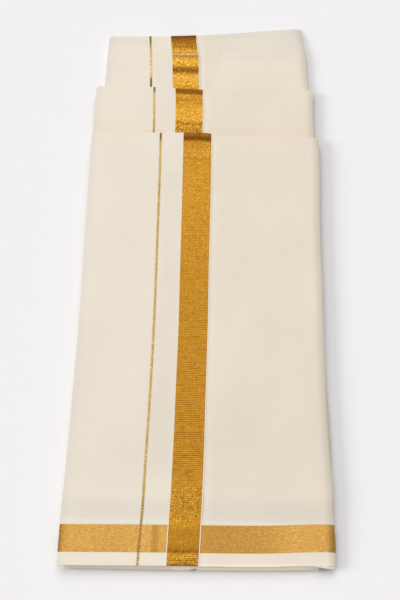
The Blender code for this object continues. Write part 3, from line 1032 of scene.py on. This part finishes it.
def speckle(x, y):
    """A White Noise texture: one random number from 0 to 1 for each x and y."""
    node = x.tree.nodes.new("ShaderNodeTexWhiteNoise")
    node.noise_dimensions = "2D"
    return wire(node, {"Vector": pair(x, y)}, "Value")


def painted(tree, name):
    """A number that was stored with the mesh under this name."""
    node = tree.nodes.new("ShaderNodeAttribute")
    node.attribute_name = name
    return wire(node, {}, "Fac")


def parts_of(vector):
    """The x, y and z of a vector."""
    node = vector.tree.nodes.new("ShaderNodeSeparateXYZ")
    return [wire(node, {0: vector}, axis) for axis in "XYZ"]


# %% Nodes for colours
GREEN_POWER, BLUE_POWER = 1.26, 1.8   # gold in shade loses blue first and then green: it is brown


def blend_colours(share, first, second):
    """A Mix node on colours: first where share is 0, second where it is 1."""
    node = share.tree.nodes.new("ShaderNodeMix")
    node.data_type = "RGBA"
    first, second = (
        colour if isinstance(colour, Signal) else (*colour, 1.0) for colour in (first, second)
    )
    return wire(node, {0: share, 6: first, 7: second}, 2)


def colour_math(operation, signal, *others):
    """A Vector Math node. A number in place of a colour counts for red, green and blue."""
    node = signal.tree.nodes.new("ShaderNodeVectorMath")
    node.operation = operation
    return wire(node, dict(enumerate((signal, *others))))


def toned_gold(tone, colour):
    """A gold times a tone, with the tone raised to its power for green and for blue."""
    powers = {"X": tone, "Y": tone.math("POWER", GREEN_POWER), "Z": tone.math("POWER", BLUE_POWER)}
    tones = wire(tone.tree.nodes.new("ShaderNodeCombineXYZ"), powers)
    return colour_math("MULTIPLY", tones, colour)


print("green and blue of gold at half tone:", 0.5 ** GREEN_POWER, 0.5 ** BLUE_POWER)


# %% Groups of nodes
def new_group(name, inputs, outputs):
    """An empty group of named numbers: its input signals in order, and its end sockets."""
    tree = bpy.data.node_groups.new(name, "ShaderNodeTree")
    for label, default in inputs.items():
        socket = tree.interface.new_socket(label, in_out="INPUT", socket_type="NodeSocketFloat")
        socket.default_value = default
    for label in outputs:
        tree.interface.new_socket(label, in_out="OUTPUT", socket_type="NodeSocketFloat")
    given = tree.nodes.new("NodeGroupInput").outputs
    ends = tree.nodes.new("NodeGroupOutput").inputs
    return tree, [Signal(given[label]) for label in inputs], ends


def place_group(tree, group, *values):
    """Puts a group into a tree, with its inputs in order, and returns its outputs."""
    node = tree.nodes.new("ShaderNodeGroup")
    node.node_tree = group
    wire(node, dict(enumerate(values)))
    return [Signal(socket) for socket in node.outputs]


# %% [markdown]
# ## Stripe, soft mark, plain weave and gold weave
#
# Four effects are used again and again on the cloth, so each is a node group that is built once.
# The stripe is a soft-edged mask between two places, and the soft mark is one round a straight
# line. The plain weave gives the height of threads that go over and under, with the thicker and
# thinner spots of spun cotton. The gold weave has two faces: in most of the border the weft lies
# in fine ribs, and near the ends of the cloth the metal thread is beaten closer and sparkles in
# small grains.

# %% A stripe
stripe, (place, start, end, softness), ends = new_group(
    "stripe", {"Place": 0.0, "Start": 0.0, "End": 1.0, "Softness": 0.0005}, ["Mask"]
)
half_soft = softness * 0.5
begun = rise(place, start - half_soft, start + half_soft)
ended = rise(place, end - half_soft, end + half_soft)
feed(ends["Mask"], begun - ended)
print(stripe.name, "has", len(stripe.nodes), "nodes")

# %% A soft mark round a straight line
soft_mark, (x, y, from_x, from_y, to_x, to_y, half_width), ends = new_group(
    "soft_mark",
    {"X": 0.0, "Y": 0.0, "From X": 0.0, "From Y": 0.0, "To X": 0.1, "To Y": 0.0, "Half Width": 0.01},
    ["Mask"],
)
reach_x, reach_y = to_x - from_x, to_y - from_y
off_x, off_y = x - from_x, y - from_y
share = (off_x * reach_x + off_y * reach_y) / (reach_x * reach_x + reach_y * reach_y)
share = share.math("MAXIMUM", 0.0).math("MINIMUM", 1.0)
gap_x, gap_y = off_x - share * reach_x, off_y - share * reach_y
distance = (gap_x * gap_x + gap_y * gap_y).math("SQRT")
feed(ends["Mask"], rise(distance / half_width, 0.0, 2.0, 1.0, 0.0))
print(soft_mark.name, "has", len(soft_mark.nodes), "nodes")

# %% Plain weave
THREAD = 0.0004
SLUB_WIDTH, SLUB_LENGTH = 1 / 900.0, 1 / 60.0   # thick spots of the spun thread
SLUB_TONE = 0.05
CLOUD_ACROSS, CLOUD_ALONG = 14.0, 9.0           # faint clouds in the whole cloth, to a metre

plain_weave, (across, far, thread), ends = new_group(
    "plain_weave", {"Across": 0.0, "Along": 0.0, "Thread": THREAD}, ["Height", "Tone"]
)
turn = math_node(plain_weave, "DIVIDE", np.pi, thread)
over_under = (across * turn).math("SINE") * (far * turn).math("SINE")
warp_slubs = noise(across * (1 / SLUB_WIDTH), far * (1 / SLUB_LENGTH))
weft_slubs = noise(across * (1 / SLUB_LENGTH), far * (1 / SLUB_WIDTH))
slubs = warp_slubs + weft_slubs - 1.0
clouds = rise(noise(across * CLOUD_ACROSS, far * CLOUD_ALONG), 0.25, 0.75, 0.985, 1.015)
feed(ends["Height"], over_under * 0.5 + (slubs + 0.5))
feed(ends["Tone"], slubs * SLUB_TONE + clouds)
print(plain_weave.name, "has", len(plain_weave.nodes), "nodes")

# %% Gold weave
RIB_PITCH = 0.00242
GRAIN_WIDTH = 0.0013       # of one float of metal thread
RIB_WANDER, WANDER_ACROSS, WANDER_ALONG = 0.7, 25.0, 12.0   # share of the pitch, to a metre
DASH_ACROSS, DASH_STEP = 80.0, 3.7   # dashes to a metre, and how unlike its neighbour a rib is
GRAIN_SHARE = (0.84, 0.16)   # how much of the grains shows: for each unit of grain, and always

gold_weave, (across, far, rib_pitch, rib_depth, grain), ends = new_group(
    "gold_weave",
    {"Across": 0.0, "Along": 0.0, "Rib Pitch": RIB_PITCH, "Rib Depth": 0.16, "Grain": 0.0},
    ["Height", "Tone"],
)
rib_count = far / rib_pitch + noise(across * WANDER_ACROSS, far * WANDER_ALONG) * RIB_WANDER
rib = rib_count.math("FLOOR")
from_crest = (rib_count.math("FRACT") - 0.5).math("ABSOLUTE")
# The valleys between the ribs are broken into dashes, deep and shallow by turns
dashed = rise(noise(across * DASH_ACROSS, rib * DASH_STEP), 0.30, 0.72, 0.40, 1.2)
ribs = rise(from_crest, 0.16, 0.48) * (dashed * rib_depth)
# Each float of metal thread has a tone of its own: many are a little dark, and the few that
# glint are painted highlights in the colour
cell_across = (across * (1 / GRAIN_WIDTH) + rib * 0.5).math("FLOOR")
cell_along = (rib_count * 2.0).math("FLOOR")
random_tone = speckle(cell_across, cell_along)
grains = rise(random_tone, 0.0, 0.6, -0.52, 0.10) + rise(random_tone, 0.75, 0.95, 0.0, 0.78)
shown_grains = grains * (grain * GRAIN_SHARE[0] + GRAIN_SHARE[1])
mixed = shown_grains - ribs * (grain * -0.20 + 1.0)
feed(ends["Tone"], mixed + 1.0)
feed(ends["Height"], mixed * 1.5 + 0.5)
print("node groups:", [group.name for group in bpy.data.node_groups])


# %% [markdown]
# ## The dhoti's cloth
#
# One material dresses the whole cloth, because it is one cloth. It asks where a point lies in
# the flat piece, finds the border, the thin line and the end band there, and mixes cotton with
# gold. Both long sides and both cut ends have the same marks, so distances are folded in the
# middle of the cloth.
#
# Gold thread is a flat metal strip round a cotton core. It is part metal and part thread, and on
# the wrong side of the cloth less of the metal shows.

# %% Colours and finish
COTTON = (0.820, 0.741, 0.624)
COTTON_BACK = (0.794, 0.709, 0.589)
BORDER_GOLD = (0.444, 0.214, 0.0210)
LINE_GOLD = (0.421, 0.278, 0.085)
LINE_ON_BAND = (0.446, 0.256, 0.068)   # the thin line where it crosses the end band
END_GOLD = (0.504, 0.279, 0.0655)
END_GOLD_BACK = (0.555, 0.303, 0.0700)
# Painted shade on the cotton where the strip is folded at its edges
EDGE_PAINTED_SHADE = 0.03           # how much darker the cotton is where the strip is folded
# Painted shade, greyish, along the strip's left edge
LEFT_EDGE_PAINTED_SHADE = (0.085, 0.055, 0.010)   # red, green and blue that the left edge takes

SHARP_SIDE, SOFT_SIDE, BAND_SIDE = 0.0005, 0.0016, 0.0006   # how soft the stripes' sides are
PALE_SEAM = 0.0011         # cotton threads that part the border from the end band
DARK_LOT = (0.0490, 0.0565, 0.004)   # a darker lot of thread in the end band: from, to, softness
DARK_LOT_TONE = 0.78
END_RIB_PITCH, END_RIB_DEPTH, END_GRAIN = 0.0030, 0.05, 0.06
DASH_PITCH, DASH_GRAIN = 0.0034, 0.2   # the thin line is of dashes
DASH_DEPTH = (0.45, 0.35)  # for each unit of grain, and always

METAL_SHOWN, METAL_LOST_BEHIND = 0.75, 0.25
COTTON_ROUGHNESS, GOLD_ROUGHNESS = 0.86, 0.42
COTTON_RELIEF, GOLD_RELIEF = 0.35, 1.2   # shares of the Bump node's height
BUMP_STRENGTH, BUMP_DISTANCE = 0.5, 0.00012
FINISH = {
    "Specular IOR Level": 0.25,
    "Specular Tint": (0.30, 0.30, 0.30, 1.0),   # keeps gold golden where light skims along it
    "Sheen Weight": 0.08,
    "Sheen Roughness": 0.4,
}
print("cotton on its right side:", COTTON)

# %% Painted shade and light on the cotton
# Mostly painted shade and painted light. From x, y, to x, y, half width, and how much red,
# green and blue they take
COTTON_PAINTED_SHADING = [
    # Painted shade: the near part of the top stretch a little darker
    (-0.1500, 0.1500, 0.1500, 0.1500, 0.0750, 0.028, 0.028, 0.034),
    # A darker strip between the thin line and the border
    (-0.0450, 0.1150, -0.0440, 0.5200, 0.0115, 0.034, 0.034, 0.038),
    # Painted shade where the surface sinks before the end band, painted highlight at the sink's foot
    (-0.1500, 0.0640, 0.1500, 0.0640, 0.0120, 0.040, 0.032, 0.010),
    (-0.1500, 0.0500, 0.1500, 0.0515, 0.0018, -0.020, -0.055, -0.095),
    # Painted shade in a short crease
    (0.0330, 0.0620, 0.0340, 0.0720, 0.0008, 0.060, 0.039, 0.009),
    # Lighter cotton by the cut end
    (-0.1500, 0.0060, 0.1500, 0.0085, 0.0070, -0.030, -0.032, -0.032),
    # Painted light on the front of the near folds and at the hanging corner
    (-0.0209, -0.0036, 0.1547, 0.0012, 0.0036, -0.180, -0.185, -0.190),
    (0.1560, -0.0020, 0.1560, 0.0125, 0.0050, -0.140, -0.140, -0.140),
    # Painted light on the lowest stair's right, where it bulges towards the light
    (0.0250, 0.7200, 0.1150, 0.7200, 0.0100, -0.030, -0.034, -0.036),
    # Painted shade on the middle stair beside the top fold, and along the far folds
    (-0.1500, 0.6070, 0.1350, 0.6070, 0.0080, 0.000, 0.026, 0.056),
    (-0.0050, 0.6020, 0.1350, 0.6020, 0.0040, 0.000, 0.020, 0.020),
    (-0.1463, 0.5976, -0.0579, 0.5985, 0.0016, 0.055, 0.055, 0.055),
    (0.0101, 0.5947, 0.1414, 0.5937, 0.0018, 0.050, 0.040, 0.045),
    (0.0082, 0.6725, 0.1426, 0.6743, 0.0014, 0.040, 0.025, 0.030),
    # Painted shade before the lowest fold, and a cooler tint on the lowest stair's right
    (-0.1400, 0.7560, -0.0900, 0.7560, 0.0080, 0.075, 0.045, 0.000),
    (0.0250, 0.7520, 0.1250, 0.7520, 0.0100, 0.024, 0.008, -0.035),
    # Painted highlight and painted shade along a crease
    (0.0200, 0.7357, 0.0950, 0.7352, 0.0013, -0.030, -0.036, -0.050),
    (0.0200, 0.7300, 0.0950, 0.7295, 0.0016, 0.020, 0.018, 0.010),
    # Painted light on the lowest stair's right, where it bulges towards the light
    (0.0250, 0.6960, 0.1150, 0.6960, 0.0170, -0.030, -0.016, -0.012),
    # Painted shade in a crease, along the loose fold's ridge and on the flap past it
    (0.0140, 0.7330, 0.0130, 0.7620, 0.0009, 0.060, 0.039, 0.009),
    (0.0300, RIDGE_Y, 0.1300, RIDGE_Y + 0.0010, 0.0008, 0.100, 0.065, 0.015),
    (0.0100, 0.7745, 0.1280, 0.7815, 0.0065, 0.095, 0.050, -0.020),
]
# A worn place in the border, and how much of the gold it takes
WEAR_MARK, WEAR = (-0.0560, 0.7333, -0.0200, 0.7352, 0.0009), 0.45
print("marks:", len(COTTON_PAINTED_SHADING))


# %% Cotton with its marks
def place_on_strip(tree):
    """Object coordinates, but counted like the tables, from the middle of the cut end."""
    x, y, _ = parts_of(wire(tree.nodes.new("ShaderNodeTexCoord"), {}, "Object"))
    return x + float(PILE_MIDDLE[0]), y + float(PILE_MIDDLE[1])


def cotton_colour(tree, on_strip, wrong_side, weave_tone):
    """Cotton with painted shade at its folded edges, less the marks of painted shade and light:
    colour - colour * sum of what they take.
    """
    # Painted shade along the left edge
    taken = colour_math("MULTIPLY", painted(tree, "left_edge"), LEFT_EDGE_PAINTED_SHADE)
    # The marks: painted shade and painted light
    for *ends_and_width, red, green, blue in COTTON_PAINTED_SHADING:
        (mask,) = place_group(tree, soft_mark, *on_strip, *ends_and_width)
        taken = colour_math("MULTIPLY_ADD", mask, (red, green, blue), taken)
    # Painted shade towards the strip's folded edges
    weave_tone_with_edge_shade = painted(tree, "edge") * -EDGE_PAINTED_SHADE + weave_tone
    plain = colour_math("MULTIPLY", blend_colours(wrong_side, COTTON, COTTON_BACK), weave_tone_with_edge_shade)
    return colour_math("SUBTRACT", plain, colour_math("MULTIPLY", plain, taken))


# %% The whole material
def dhoti_cloth(name):
    """Cotton, over it the end band's gold, over that the thin line, and the border on top."""
    material = bpy.data.materials.new(name)
    material.use_nodes = True
    tree = material.node_tree
    shader = tree.nodes["Principled BSDF"].inputs

    place = tree.nodes.new("ShaderNodeUVMap")
    place.uv_map = "cloth"
    wide, long, _ = parts_of(wire(place, {}, "UV"))
    across = wide.math("PINGPONG", CLOTH_WIDTH / 2)
    from_end = long.math("PINGPONG", cloth_length / 2)
    wrong_side = painted(tree, "wrong_side")
    grain = painted(tree, "grain")

    def band(at, start, end, softness):
        return place_group(tree, stripe, at, start, end, softness)[0]

    whole_border = band(across, SELVEDGE, BORDER_TO, SHARP_SIDE)
    thin_line = band(across, LINE_AT - LINE_WIDTH / 2, LINE_AT + LINE_WIDTH / 2, SOFT_SIDE)
    parted = band(across, SELVEDGE - PALE_SEAM, BORDER_TO + PALE_SEAM, SHARP_SIDE)
    end_band = band(from_end, *END_BAND, BAND_SIDE) * math_node(tree, "SUBTRACT", 1.0, parted)

    weave_height, weave_tone = place_group(tree, plain_weave, wide, long, THREAD)
    gold_height, gold_tone = place_group(
        tree, gold_weave, wide, long, RIB_PITCH, painted(tree, "rib_depth"), grain
    )
    _, end_tone = place_group(tree, gold_weave, long, wide, END_RIB_PITCH, END_RIB_DEPTH, END_GRAIN)
    dash_depth = grain * DASH_DEPTH[0] + DASH_DEPTH[1]
    _, dash_tone = place_group(tree, gold_weave, wide, long, DASH_PITCH, dash_depth, DASH_GRAIN)

    on_strip = place_on_strip(tree)
    colour = cotton_colour(tree, on_strip, wrong_side, weave_tone)
    (wear,) = place_group(tree, soft_mark, *on_strip, *WEAR_MARK)
    lot = rise(band(across, *DARK_LOT), 0.0, 1.0, 1.0, DARK_LOT_TONE)
    end_gold = blend_colours(wrong_side, END_GOLD, END_GOLD_BACK)
    # The stored tones of the gold, the end band's too, are painted reflection and painted shade
    end_gold = toned_gold(end_tone * (painted(tree, "end_tone") * lot), end_gold)
    line_gold = blend_colours(end_band, LINE_GOLD, LINE_ON_BAND)
    line_gold = toned_gold(dash_tone * painted(tree, "line_painted_reflection"), line_gold)
    border_gold = toned_gold(gold_tone * painted(tree, "border_painted_reflection"), BORDER_GOLD)
    border = whole_border * (wear * -WEAR + 1.0)
    colour = blend_colours(end_band, colour, end_gold)
    colour = blend_colours(thin_line, colour, line_gold)
    feed(shader["Base Color"], blend_colours(border, colour, border_gold))

    gold = border.math("MAXIMUM", thin_line.math("MAXIMUM", end_band))
    feed(shader["Metallic"], gold * (wrong_side * -METAL_LOST_BEHIND + METAL_SHOWN))
    feed(shader["Roughness"], rise(gold, 0.0, 1.0, COTTON_ROUGHNESS, GOLD_ROUGHNESS))
    height = weave_height * COTTON_RELIEF + gold_height * gold * GOLD_RELIEF
    bump = {"Strength": BUMP_STRENGTH, "Distance": BUMP_DISTANCE, "Height": height}
    feed(shader["Normal"], wire(tree.nodes.new("ShaderNodeBump"), bump))

    for label, value in FINISH.items():
        shader[label].default_value = value
    return material


woven_cotton = dhoti_cloth("cream_cotton_with_gold_borders")
print(woven_cotton.name, "has", len(woven_cotton.node_tree.nodes), "nodes")


# %% [markdown]
# ## Dressing the solids
#
# Every cloth piece stands for the solid that holds its place, rides on the model's one body, and
# takes the cloth's one material.

# %% Ride and replace
pieces = [
    (top_cloth, "top_stretch", "cream_cotton", cloth_used, ["near_fold_upper"]),
    (middle_cloth, "middle_stretch", "cream_cotton", middle_end - upper_end, ["near_fold_lower"]),
    (lower_cloth, "lower_stretch", "cream_cotton", lower_end - lower_start, ["bottom_cloth"]),
    (near_fold_upper, "hidden_layers", "layered_cotton", upper_end - cloth_used, ["near_fold_lower"]),
    (near_fold_lower, "hidden_layers", "layered_cotton", lower_start - middle_end, ["bottom_cloth"]),
    (bottom_cloth, "hidden_layers", "layered_cotton", cloth_length - lower_end, []),
]
for piece, node, slot, length, carried_by in pieces:
    piece.data.materials.append(woven_cotton)
    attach(piece, "root")
    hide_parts(node)
    print(piece.name, "cut", round(length, 3), "m")


# %% [markdown]
# ## Floor and light
#
# The cloth lies on a plain white surface. The main light is a very broad soft one, half way up
# beyond the far end, so a soft shadow falls in front of the pile. A second comes in low from one
# side and draws the creases. Both are suns with a wide disc, which light a flat surface evenly
# from end to end. The sky is pale overhead, dimmer low down, and a little brighter on the near
# side, so that the gold turns brown where a fold tips it away.

# %% Floor
FLOOR_HALF = 6.0
FLOOR_WHITE = (0.880, 0.860, 0.868, 1.0)
floor_mesh = bpy.data.meshes.new("floor")
floor_mesh.from_pydata(
    [(x * FLOOR_HALF, y * FLOOR_HALF, 0.0) for x, y in ((-1, -1), (1, -1), (1, 1), (-1, 1))],
    [],
    [(0, 1, 2, 3)],
)
floor = bpy.data.objects.new("floor", floor_mesh)
bpy.context.scene.collection.objects.link(floor)
floor_white = bpy.data.materials.new("floor_white")
floor_white.use_nodes = True
surface = floor_white.node_tree.nodes["Principled BSDF"].inputs
surface["Base Color"].default_value = FLOOR_WHITE
surface["Roughness"].default_value = 0.9
surface["Specular IOR Level"].default_value = 0.0
floor_mesh.materials.append(floor_white)
print("floor:", 2 * FLOOR_HALF, "m square")


# %% Lights
SKY_ABOVE, SKY_LOW, SKY_NEAR = 0.475, 0.16, 0.20
SKY_RISE, NEAR_RISE = (0.25, 0.90), (0.3, 0.9)   # upwards, and towards the near side


def soft_sun(name, strength, elevation, azimuth, disc):
    """A sun whose light comes from azimuth degrees left of straight ahead (+Y)."""
    data = bpy.data.lights.new(name, "SUN")
    data.energy = strength
    data.angle = np.radians(disc)
    light = bpy.data.objects.new(name, data)
    light.rotation_euler = (np.radians(90 - elevation), 0.0, np.radians(180 + azimuth))
    bpy.context.scene.collection.objects.link(light)


soft_sun("high_box", strength=1.53, elevation=52, azimuth=12, disc=60)
soft_sun("low_box", strength=1.93, elevation=23, azimuth=92, disc=24)

world = bpy.data.worlds.new("studio")
bpy.context.scene.world = world
world.use_nodes = True
sky = world.node_tree
_, towards_far, upwards = parts_of(wire(sky.nodes.new("ShaderNodeTexCoord"), {}, "Generated"))
near_side = rise(towards_far * -1.0, *NEAR_RISE, 0.0, SKY_NEAR)
background = sky.nodes["Background"].inputs
feed(background["Strength"], rise(upwards, *SKY_RISE, SKY_LOW, SKY_ABOVE) + near_side)
background["Color"].default_value = (1.0, 1.0, 1.0, 1.0)
bpy.context.scene.view_settings.view_transform = "Standard"
